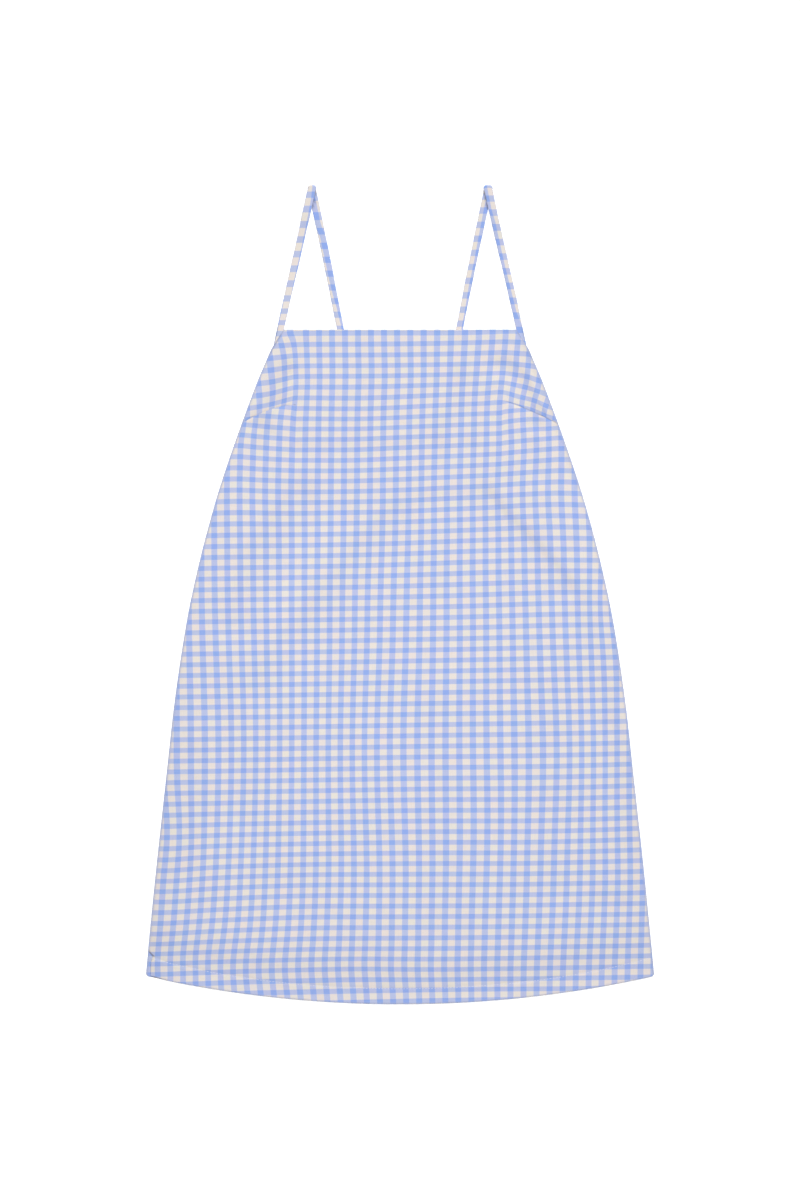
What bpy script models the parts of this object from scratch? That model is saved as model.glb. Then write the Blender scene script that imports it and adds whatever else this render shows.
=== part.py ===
# Mini dress with two thin straps, laid flat on its back.
# Metres, +Z up. The back panel rests on the surface at z = 0 and the front panel lies on it.
# +Y runs from the hem up to the straps, +X is the right-hand side as seen from above, and the
# origin is in the middle of the laid dress, on the surface.
import math
from collections import namedtuple

import bpy

MM = 0.001

# Driving dimensions
DRESS_LENGTH = 0.8678          # top of the folded straps to the middle of the hem
PANEL_LENGTH = 0.7147          # front neckline to the middle of the hem
BACK_DROP = 0.0217             # how far the back's top edge lies below the front's
HEM_RISE = 0.0298              # how far the hem's corners lie above its middle
CLOTH = 0.0012                 # wall of each panel
SEAM_GAP = 0.0003              # clearance where pieces meet
STRAP_WIDTH_AT_FOLD = 0.0088   # pressed wider where it is folded
STRAP_WIDTH_AT_NECK = 0.0072
STRAP_THICK = 0.0015           # sewn tube, pressed flat

HEM_Y = -DRESS_LENGTH / 2
NECK_Y = HEM_Y + PANEL_LENGTH
BACK_TOP_Y = NECK_Y - BACK_DROP
STRAP_TOP_Y = DRESS_LENGTH / 2

# Half-width of the laid dress at distances below the front neckline, in millimetres.
# The first two rows are the slanted armhole edge, the rest the side seam.
SideRow = namedtuple("SideRow", "below_neck half_width")
SIDE = [
    SideRow(0.0, 123.3),
    SideRow(20.5, 136.3),
    SideRow(53.5, 150.4),
    SideRow(96.0, 166.4),
    SideRow(138.5, 181.4),
    SideRow(181.0, 195.1),
    SideRow(244.5, 212.1),
    SideRow(308.0, 225.7),
    SideRow(393.0, 238.6),
    SideRow(478.0, 248.1),
    SideRow(562.5, 257.4),
    SideRow(626.0, 263.9),
    SideRow(686.0, 269.6),
]

# Crown of the front panel: it rests on the back at its edges and stands clear of it inside.
CROWN = 0.0021             # rise of its underside from the edges to the middle
SIDE_ROLL = 0.055          # width of the rolled side
HEM_ROLL = 0.050
NECK_ROLL = 0.080
NECK_LIFT = 0.0003         # the neckline lies on the straps, which are thicker than the back
NECK_LIFT_DEPTH = 0.035

# Turned-up hem and its stitch line
HEM_BAND = 0.0175          # stitch line above the hem
HEM_RAISE = 0.0004         # what the turned-up layer adds
STITCH_DIP = 0.0003

# Bust darts, from the side seam up to their tips
DART_TIP_X = 0.1115
DART_BELOW_NECK = 0.0792   # tip below the neckline
DART_DROP = 0.0198         # seam end below the tip
DART_DIP = 0.0007
DART_REACH = 0.072         # how far above and below the dart the rows of points bend with it
DART_SIDE_ROW = 0.0045     # rows just above and below the dart
DART_FADE = 0.020          # the dip grows from nothing over this distance from the tip

# Soft folds of the front, in millimetres: each runs from one point to another.
# Points are across from the middle and below the neckline. Troughs have a negative height.
Fold = namedtuple("Fold", "x_from below_from x_to below_to width height")
FOLDS = [
    Fold(90, 165, 191, 276, 34, -1.1),
    Fold(62, 150, 160, 262, 30, 0.5),
    Fold(-80, 154, -180, 287, 32, -1.0),
    Fold(-52, 168, -150, 300, 30, 0.5),
    Fold(0, 176, -58, 255, 30, -0.7),
    Fold(-58, 255, -159, 377, 34, -0.8),
    Fold(64, 38, 58, 75, 22, -0.6),
    Fold(58, 75, 37, 160, 22, -0.7),
    Fold(92, 40, 127, 50, 24, -0.5),
    Fold(127, 50, 138, 106, 24, -0.5),
    Fold(-128, 38, -126, 100, 26, -0.6),
    Fold(-138, 117, -20, 117, 20, -0.4),
    Fold(0, 175, 90, 176, 20, -0.4),
    Fold(-175, 287, -172, 520, 44, -0.8),
    Fold(-120, 330, -116, 560, 50, 0.4),
    Fold(191, 286, 196, 362, 36, -0.7),
    Fold(150, 380, 158, 600, 48, -0.5),
    Fold(40, 400, 46, 650, 60, -0.3),
]

FOLD_END_FADE = 1.5        # a fold dies away past its ends over this many half-widths

# Straps: the front leg starts under the front's corner, runs up over the back leg to the fold,
# and the back leg runs down under the neckline to the back's top edge. Distances are in
# millimetres from the middle line, at the neckline and at the fold.
FRONT_LEG_AT_NECK = 126.7
FRONT_LEG_AT_FOLD = 92.8
BACK_LEG_AT_NECK = 62.6
BACK_LEG_AT_FOLD = 93.8
TAIL_LENGTH = 0.0190       # front leg below the neckline, under the front panel
FOLD_GAP = 0.0010          # between the two legs at the fold
LEG_RISE_FROM = 0.062      # the front leg climbs onto the back leg between these distances
LEG_RISE_TO = 0.024        # below the fold

# Point counts
FRONT_COLUMNS = 34
FRONT_ROWS = 36
BACK_COLUMNS = 16
BACK_ROWS = 18
FRONT_HEM_ROWS = (1.35, 1.0, 0.7, 0.3, 0.0)    # in hem bands above the hem
BACK_HEM_ROWS = (1.0, 0.0)
SIDE_DENSITY = 0.14        # how much closer the columns stand at the sides
ROW_MARGIN = 0.6           # rows nearer to the dart than this share of their spacing are dropped
TAIL_STEPS = 6
CLIMB_STEPS = 18
FOLD_STEPS = 8
BACK_LEG_STEPS = 9
RING = 8

# Colours of the woven check: cream ground with light blue, as a flat mean of both
PANEL_COLOUR = (0.53, 0.60, 0.84, 1.0)
BACK_COLOUR = (0.49, 0.56, 0.81, 1.0)
STRAP_COLOUR = (0.50, 0.56, 0.80, 1.0)
CLOTH_ROUGHNESS = 0.85


def clamp01(t):
    return max(0.0, min(1.0, t))


def smooth(t):
    t = clamp01(t)
    return t * t * (3 - 2 * t)


def round_off(t):
    # rises steeply from an edge and flattens out at 1
    t = clamp01(t)
    return 1 - (1 - t) ** 2


def side_half_width(y):
    # cubic through the rows of the side table; it may turn sharply only at the underarm, row 1
    below = (NECK_Y - y) / MM
    last = len(SIDE) - 1
    i = 0
    while i < last - 1 and below > SIDE[i + 1].below_neck:
        i += 1
    a, b = SIDE[i], SIDE[i + 1]
    span = b.below_neck - a.below_neck
    t = (below - a.below_neck) / span
    slopes = []
    for k in (i, i + 1):
        low, high = SIDE[k - 1], SIDE[min(k + 1, last)]
        if k <= 1:
            low, high = a, b
        slopes.append((high.half_width - low.half_width) / (high.below_neck - low.below_neck))
    half = (2 * t ** 3 - 3 * t ** 2 + 1) * a.half_width
    half += (t ** 3 - 2 * t ** 2 + t) * span * slopes[0]
    half += (3 * t ** 2 - 2 * t ** 3) * b.half_width
    half += (t ** 3 - t ** 2) * span * slopes[1]
    return half * MM


def fold_height(x, y):
    # sum of the soft folds at a point, each a rounded trough or ridge that fades at its ends
    total = 0.0
    for fold in FOLDS:
        ax, ay = fold.x_from * MM, NECK_Y - fold.below_from * MM
        bx, by = fold.x_to * MM, NECK_Y - fold.below_to * MM
        dx, dy = bx - ax, by - ay
        length = math.hypot(dx, dy)
        along = ((x - ax) * dx + (y - ay) * dy) / length ** 2
        across = abs((x - ax) * dy - (y - ay) * dx) / length
        past = max(0.0, -along, along - 1) * length
        reach = fold.width * MM / 2
        total += fold.height * MM * math.exp(-(across / reach) ** 2 - (past / (FOLD_END_FADE * reach)) ** 2)
    return total


def row_point(u, row_y, rise, dart_bend):
    # u runs from -1 to 1 across a row; the row lifts to the sides as the hem does
    y = row_y + rise * u * u
    tip_u = DART_TIP_X / side_half_width(NECK_Y - DART_BELOW_NECK)
    y -= dart_bend * DART_DROP * clamp01((abs(u) - tip_u) / (1 - tip_u))
    return u * side_half_width(y), y


def column_values(count):
    # columns a little closer together towards both sides
    values = []
    for k in range(count + 1):
        t = 2 * k / count - 1
        values.append(t * (1 + SIDE_DENSITY - SIDE_DENSITY * t * t))
    return values


def panel_rows(top_y, body_rows, hem_rows, dart_rows):
    # each row: its height on the middle line, how far its ends lift, and how far it bends to the dart
    dart_y = NECK_Y - DART_BELOW_NECK
    centres = [top_y + (HEM_Y + HEM_BAND * 2 - top_y) * k / body_rows for k in range(body_rows + 1)]
    if dart_rows:
        spacing = (top_y - HEM_Y) / body_rows
        centres = [y for y in centres if abs(y - dart_y) > ROW_MARGIN * spacing]
        centres += [dart_y + DART_SIDE_ROW, dart_y, dart_y - DART_SIDE_ROW]
    centres += [HEM_Y + HEM_BAND * part for part in hem_rows]
    rows = []
    for y in sorted(centres, reverse=True):
        rise = HEM_RISE * smooth((top_y - y) / (top_y - HEM_Y))
        bend = smooth(1 - abs(y - dart_y) / DART_REACH) if dart_rows else 0.0
        rows.append((y, rise, bend))
    return rows


def front_underside(x, y, hem_y):
    inside = side_half_width(y) - abs(x)
    crown = round_off(inside / SIDE_ROLL)
    crown *= round_off((y - hem_y) / HEM_ROLL)
    crown *= round_off((NECK_Y - y) / NECK_ROLL)
    lift = NECK_LIFT * smooth(1 - (NECK_Y - y) / NECK_LIFT_DEPTH)
    folds = fold_height(x, y) * smooth(crown)
    return CLOTH + SEAM_GAP + lift + CROWN * crown + folds


def add_object(name, points, faces, colour):
    mesh = bpy.data.meshes.new(name)
    mesh.from_pydata(points, [], faces)
    mesh.validate()
    mesh.update()
    piece = bpy.data.objects.new(name, mesh)
    bpy.context.scene.collection.objects.link(piece)
    material = bpy.data.materials.new(name + "_cloth")
    material.use_nodes = True
    shader = material.node_tree.nodes["Principled BSDF"]
    shader.inputs["Base Color"].default_value = colour
    shader.inputs["Roughness"].default_value = CLOTH_ROUGHNESS
    shader.inputs["Metallic"].default_value = 0.0
    mesh.materials.append(material)
    mesh.shade_smooth()
    mesh.set_sharp_from_angle(angle=math.radians(40))
    return piece


def wall_between(upper, lower):
    # closes two grids of points, one above the other, into a wall with its four edges
    rows, columns = len(upper), len(upper[0])
    points = [p for row in upper for p in row] + [p for row in lower for p in row]
    below = rows * columns

    def index(r, c):
        return r * columns + c

    faces = []
    for r in range(rows - 1):
        for c in range(columns - 1):
            a, b, d, e = index(r, c), index(r, c + 1), index(r + 1, c), index(r + 1, c + 1)
            faces.append((a, d, e, b))
            faces.append((below + a, below + b, below + e, below + d))
    for r in range(rows - 1):
        for c, flip in ((0, False), (columns - 1, True)):
            a, d = index(r, c), index(r + 1, c)
            edge = (a, below + a, below + d, d)
            faces.append(edge[::-1] if flip else edge)
    for c in range(columns - 1):
        for r, flip in ((0, True), (rows - 1, False)):
            a, b = index(r, c), index(r, c + 1)
            edge = (a, below + a, below + b, b)
            faces.append(edge[::-1] if flip else edge)
    return points, faces


def make_front():
    columns = column_values(FRONT_COLUMNS)
    rows = panel_rows(NECK_Y, FRONT_ROWS, FRONT_HEM_ROWS, True)
    dart_y = NECK_Y - DART_BELOW_NECK
    stitch_y = HEM_Y + HEM_BAND
    upper, lower = [], []
    for row_y, rise, bend in rows:
        upper_row, lower_row = [], []
        for u in columns:
            x, y = row_point(u, row_y, rise, bend)
            hem_y = HEM_Y + HEM_RISE * u * u
            z = front_underside(x, y, hem_y)
            top = z + CLOTH
            if math.isclose(row_y, dart_y) and abs(x) > DART_TIP_X:
                top -= DART_DIP * smooth((abs(x) - DART_TIP_X) / DART_FADE)
            if math.isclose(row_y, stitch_y):
                top -= STITCH_DIP
            elif row_y < stitch_y:
                top += HEM_RAISE * round_off((row_y - HEM_Y) / (0.4 * HEM_BAND))
            upper_row.append((x, y, top))
            lower_row.append((x, y, z))
        upper.append(upper_row)
        lower.append(lower_row)
    points, faces = wall_between(upper, lower)
    return add_object("front_panel", points, faces, PANEL_COLOUR)


def make_back():
    columns = column_values(BACK_COLUMNS)
    upper, lower = [], []
    for row_y, rise, bend in panel_rows(BACK_TOP_Y, BACK_ROWS, BACK_HEM_ROWS, False):
        plan = [row_point(u, row_y, rise, bend) for u in columns]
        upper.append([(x, y, CLOTH) for x, y in plan])
        lower.append([(x, y, 0.0) for x, y in plan])
    points, faces = wall_between(upper, lower)
    return add_object("back_panel", points, faces, BACK_COLOUR)


def strap_path():
    # stations of the strap's middle: across, along, up, and the outward direction along Y and Z
    half = STRAP_THICK / 2
    radius = (STRAP_THICK + FOLD_GAP) / 2
    fold_y = STRAP_TOP_Y - radius - half
    low_z = half
    high_z = low_z + 2 * radius
    tail_y = NECK_Y - TAIL_LENGTH

    def leg_x(y, at_neck, at_fold):
        return (at_neck + (at_fold - at_neck) * (y - NECK_Y) / (fold_y - NECK_Y)) * MM

    def front_z(y):
        climbed = (LEG_RISE_FROM - (fold_y - y)) / (LEG_RISE_FROM - LEG_RISE_TO)
        return low_z + (high_z - low_z) * smooth(climbed)

    stations = []
    climb_y = fold_y - LEG_RISE_FROM
    front_ys = [tail_y + (climb_y - tail_y) * k / TAIL_STEPS for k in range(TAIL_STEPS)]
    front_ys += [climb_y + LEG_RISE_FROM * k / CLIMB_STEPS for k in range(CLIMB_STEPS)]
    for y in front_ys:
        lean = math.atan2(front_z(y + SEAM_GAP) - front_z(y - SEAM_GAP), 2 * SEAM_GAP)
        stations.append((leg_x(y, FRONT_LEG_AT_NECK, FRONT_LEG_AT_FOLD), y, front_z(y),
                         -math.sin(lean), math.cos(lean)))
    for k in range(FOLD_STEPS + 1):
        turn = math.pi * k / FOLD_STEPS
        x = (FRONT_LEG_AT_FOLD + (BACK_LEG_AT_FOLD - FRONT_LEG_AT_FOLD) * k / FOLD_STEPS) * MM
        stations.append((x, fold_y + radius * math.sin(turn), low_z + radius + radius * math.cos(turn),
                         math.sin(turn), math.cos(turn)))
    end_y = BACK_TOP_Y + SEAM_GAP
    for k in range(1, BACK_LEG_STEPS + 1):
        y = fold_y + (end_y - fold_y) * k / BACK_LEG_STEPS
        stations.append((leg_x(y, BACK_LEG_AT_NECK, BACK_LEG_AT_FOLD), y, low_z, 0.0, -1.0))
    return stations


def make_strap(name, side):
    # every cross line runs straight across the dress, so the legs lean by shear alone
    lean = math.atan((FRONT_LEG_AT_NECK - FRONT_LEG_AT_FOLD) * MM / (STRAP_TOP_Y - NECK_Y))
    thick = STRAP_THICK / 2
    bevel = thick * 0.5
    points = []
    for x, y, z, out_y, out_z in strap_path():
        up = clamp01((y - NECK_Y) / (STRAP_TOP_Y - NECK_Y))
        width = STRAP_WIDTH_AT_NECK + (STRAP_WIDTH_AT_FOLD - STRAP_WIDTH_AT_NECK) * up
        half = width / 2 / math.cos(lean)
        inner = half - bevel
        profile = [(half, thick - bevel), (half, bevel - thick), (inner, -thick), (-inner, -thick),
                   (-half, bevel - thick), (-half, thick - bevel), (-inner, thick), (inner, thick)]
        for across, out in profile:
            points.append((side * (x + across), y + out * out_y, z + out * out_z))
    count = len(points) // RING
    faces = []
    for s in range(count - 1):
        for k in range(RING):
            a = s * RING + k
            b = s * RING + (k + 1) % RING
            faces.append((a, b, b + RING, a + RING))
    faces.append(tuple(range(RING))[::-1])
    faces.append(tuple((count - 1) * RING + k for k in range(RING)))
    if side < 0:
        faces = [face[::-1] for face in faces]
    return add_object(name, points, faces, STRAP_COLOUR)


def main():
    for old in list(bpy.data.objects):
        bpy.data.objects.remove(old, do_unlink=True)
    make_back()
    make_front()
    make_strap("strap_right", 1)
    make_strap("strap_left", -1)


main()
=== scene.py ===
import math
import bpy
import numpy as np
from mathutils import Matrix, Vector


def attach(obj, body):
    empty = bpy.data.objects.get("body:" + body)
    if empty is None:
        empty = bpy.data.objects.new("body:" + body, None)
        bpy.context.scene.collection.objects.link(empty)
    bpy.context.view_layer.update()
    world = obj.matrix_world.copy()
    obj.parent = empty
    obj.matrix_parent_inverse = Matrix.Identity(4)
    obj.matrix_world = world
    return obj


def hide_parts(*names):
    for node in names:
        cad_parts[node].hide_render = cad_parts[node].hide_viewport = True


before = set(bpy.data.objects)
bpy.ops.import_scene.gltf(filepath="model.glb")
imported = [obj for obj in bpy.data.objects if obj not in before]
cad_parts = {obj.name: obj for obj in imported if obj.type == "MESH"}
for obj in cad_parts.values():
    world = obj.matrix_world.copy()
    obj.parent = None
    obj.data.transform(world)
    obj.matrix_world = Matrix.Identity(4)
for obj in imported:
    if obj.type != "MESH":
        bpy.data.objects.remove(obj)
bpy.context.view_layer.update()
print("frame loaded,", len(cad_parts), "solids")

mm = 0.001

dressCut = {                      # everything here is in millimetres
    "neckY": 280.8,               # front neckline, from the dress's middle
    "panelLength": 714.7,         # front neckline to the middle of the hem
    "backDrop": 21.7,             # the back's top edge lies this much lower
    "hemRise": 29.8,              # the hem's corners lie this much higher than its middle
    "cornerRound": 3.0,
    "edgeSteps": (0, 0.3, 0.8, 1.5, 2.5, 3.8, 5.5),   # points close to an edge, for its rounding
    "sides": ((0, 123.3), (20.5, 136.3), (53.5, 150.4), (96, 166.4), (138.5, 181.4), (181, 195.1),
              (244.5, 212.1), (308, 225.7), (393, 238.6), (478, 248.1), (562.5, 257.4), (626, 263.9),
              (686, 269.6)),      # below the neckline, half width
    "hemBand": 16.2,              # stitches above the hem
    "hemBandAtSides": 3.6,        # and this much more at its corners
}


def smooth(t):
    t = np.clip(t, 0, 1)
    return t * t * (3 - 2 * t)


def swell(t):                     # leaves an edge steeply and levels out at 1
    t = np.clip(t, 0, 1)
    return 1 - (1 - t) ** 2


def roundEdge(gap, radius):
    return np.sqrt(1 - (1 - np.clip(gap / radius, 0, 1)) ** 2)


def bell(distance, width):
    return np.exp(-(distance / width) ** 2)


def halfWidth(below):
    # smooth line through the side table, which may turn only at the underarm
    rows = np.array(dressCut["sides"])
    at, wide = rows[:, 0], rows[:, 1]
    last = len(at) - 1
    low = np.clip(np.searchsorted(at, below) - 1, 0, last - 1)
    span = at[low + 1] - at[low]
    chord = (wide[low + 1] - wide[low]) / span
    t = (below - at[low]) / span

    def slope(k):
        before, after = np.maximum(k - 1, 0), np.minimum(k + 1, last)
        return np.where(k <= 1, chord, (wide[after] - wide[before]) / (at[after] - at[before]))

    half = (2 * t ** 3 - 3 * t ** 2 + 1) * wide[low] + (3 * t ** 2 - 2 * t ** 3) * wide[low + 1]
    return half + span * ((t ** 3 - 2 * t ** 2 + t) * slope(low) + (t ** 3 - t ** 2) * slope(low + 1))


def hemBelow(x, below):
    return dressCut["panelLength"] - dressCut["hemRise"] * (x / halfWidth(below)) ** 2


def edgeGaps(x, below):
    # how far a point lies from the side seam and from the hem
    return halfWidth(below) - np.abs(x), hemBelow(x, below) - below


def hemBandWidth(x, below):
    return dressCut["hemBand"] + dressCut["hemBandAtSides"] * np.abs(x / halfWidth(below)) ** 4


# how the check lies on the cloth; pulls are listed drifts of the pattern in millimetres:
# across, below the neckline, reach across, reach down, amount, which is to the left for
# sidePulls and toward the neckline for upPulls
check = {
    "repeatAcross": 13.734,
    "repeatDown": 11.303,
    "startAcross": 0.728,         # in repeats, on the middle line at the neckline
    "startDown": 0.414,
    "leanAcross": 0.00034,        # repeats gained for each millimetre down
    "leanDown": 0.00155,          # and for each millimetre across
    "sidePulls": (
        (-13, 435, 53, 122, 4.9), (170, 456, 53, 117, -6.6), (-186, 435, 58, 117, -4.9),
        (-254, 530, 27, 42, -4.2), (111, 0, 64, 30, -5.3), (-180, 679, 117, 40, 5.5),
        (154, 170, 64, 48, 3.8), (-138, 170, 53, 42, 1.1), (-21, 276, 64, 53, 1.1),
        (223, 287, 17, 48, 5.3), (233, 583, 53, 64, -2.1), (-42, 637, 117, 53, 1.9),
        (-233, 562, 48, 64, -2.1), (159, 605, 64, 64, -1.7), (-127, 64, 23, 27, -2.1),
        (-122, 52, 26, 34, -2.3), (0, 300, 400, 500, 0.4), (0, 48, 100, 30, -1.2),
        (-185, 520, 42, 110, -1.3), (-55, 460, 48, 90, 0.8), (95, 525, 38, 70, -1.7),
        (110, 250, 70, 45, 0.9), (-20, 676, 120, 20, 1.2), (-124, 30, 14, 14, -2.0),
        (-118, 2, 10, 9, 4.0), (100, 38, 40, 26, -1.6), (124, 46, 12, 14, -0.9),
        (-225, 682, 40, 14, -1.0), (124, 92, 26, 26, 1.8), (44, 165, 30, 48, 0.8)),
    "upPulls": (
        (32, 27, 180, 40, -3.5), (154, 160, 80, 64, 4.7), (-180, 170, 48, 48, 2.3),
        (-53, 128, 42, 37, -1.4), (170, 287, 74, 48, 1.3), (154, 530, 95, 85, -1.9),
        (-249, 573, 37, 48, -2.9), (-106, 605, 74, 48, 1.4), (-148, 684, 95, 30, 2.0),
        (254, 605, 42, 53, -0.8), (74, 244, 74, 32, 1.2), (-60, 80, 75, 26, -2.0),
        (150, 230, 70, 75, 0.8), (-45, 680, 60, 22, 1.5), (-145, 50, 28, 42, -2.2),
        (-125, 115, 30, 25, -0.9), (158, 80, 14, 22, -3.2), (146, 55, 8, 10, -2.0),
        (70, 2, 62, 8, -1.6), (-262, 640, 45, 26, -1.7), (105, 68, 12, 16, 1.1),
        (126, 74, 12, 10, -1.3), (-10, 84, 58, 24, -1.2), (-55, 610, 110, 75, 0.9),
        (50, 170, 36, 48, 0.8), (60, 706, 110, 22, 1.5)),
}

darts = {                         # by side; millimetres from the middle and below the neckline
    # line is how dark the painted shade along a dart's seam is
    -1: {"tip": (111.6, 79.6), "end": (167.9, 99.4), "bow": 1.9, "line": 0.10,
         "above": {"side": -8.0, "sidePower": 1.0, "sideFade": 40,
                   "up": -13.2, "upPower": 1.0, "upFade": 45},
         "below": {"side": -3.7, "sidePower": 2.0, "sideFade": 16,
                   "up": 5.2, "upPower": 0.6, "upFade": 55}},
    1: {"tip": (107.9, 75.0), "end": (166.8, 99.4), "bow": 1.2, "line": 0.24,
        "above": {"side": 11.0, "sidePower": 1.2, "sideFade": 23,
                   "up": -18.0, "upPower": 1.35, "upFade": 60},
        "below": {"side": 3.2, "sidePower": 0.8, "sideFade": 40,
                   "up": 5.2, "upPower": 0.45, "upFade": 50}},
}
dartMiddle = 77.3                 # where the row of points through both tips crosses the middle line
dartReach = 72                    # rows of points this near to it bend with it


def alongDart(side, x):
    dart = darts[side]
    (tipX, tipBelow), (endX, endBelow) = dart["tip"], dart["end"]
    t = np.clip((side * x - tipX) / (endX - tipX), 0, 1)
    return t, tipBelow + (endBelow - tipBelow) * t ** dart["bow"]


def drift(x, below, pulls):
    total = np.zeros_like(x)
    for atX, atBelow, reachX, reachDown, amount in pulls:
        total += amount * bell(x - atX, reachX) * bell(below - atBelow, reachDown)
    return total


def clothGrain(x, below, part):
    # place on the check in repeats; part says which side of the darts' seams the cloth belongs to
    sideways, upward = drift(x, below, check["sidePulls"]), drift(x, below, check["upPulls"])
    for side in darts:
        t, seam = alongDart(side, x)
        take = darts[side][part]
        away = np.maximum(0, seam - below if part == "above" else below - seam)
        sideways += take["side"] * t ** take["sidePower"] * bell(away, take["sideFade"])
        upward += take["up"] * t ** take["upPower"] * bell(away, take["upFade"])
    across = check["startAcross"] + (x + sideways) / check["repeatAcross"] + check["leanAcross"] * below
    down = check["startDown"] + (below + upward) / check["repeatDown"] + check["leanDown"] * x
    return across, down


# the back's check, hidden under the front
backCheck = {
    "startAcross": 0.43, "startDown": 0.32, "leanAcross": 0.0006, "leanDown": 0.0012,
    "sidePulls": ((60, 400, 90, 160, 3.0),),
    "upPulls": ((-80, 300, 80, 120, -2.5),),
}


def backGrain(x, below, part):
    # without darts both parts are alike
    across = backCheck["startAcross"] + (x + drift(x, below, backCheck["sidePulls"])) / check["repeatAcross"]
    down = backCheck["startDown"] + (below + drift(x, below, backCheck["upPulls"])) / check["repeatDown"]
    return across + backCheck["leanAcross"] * below, down + backCheck["leanDown"] * x


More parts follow.
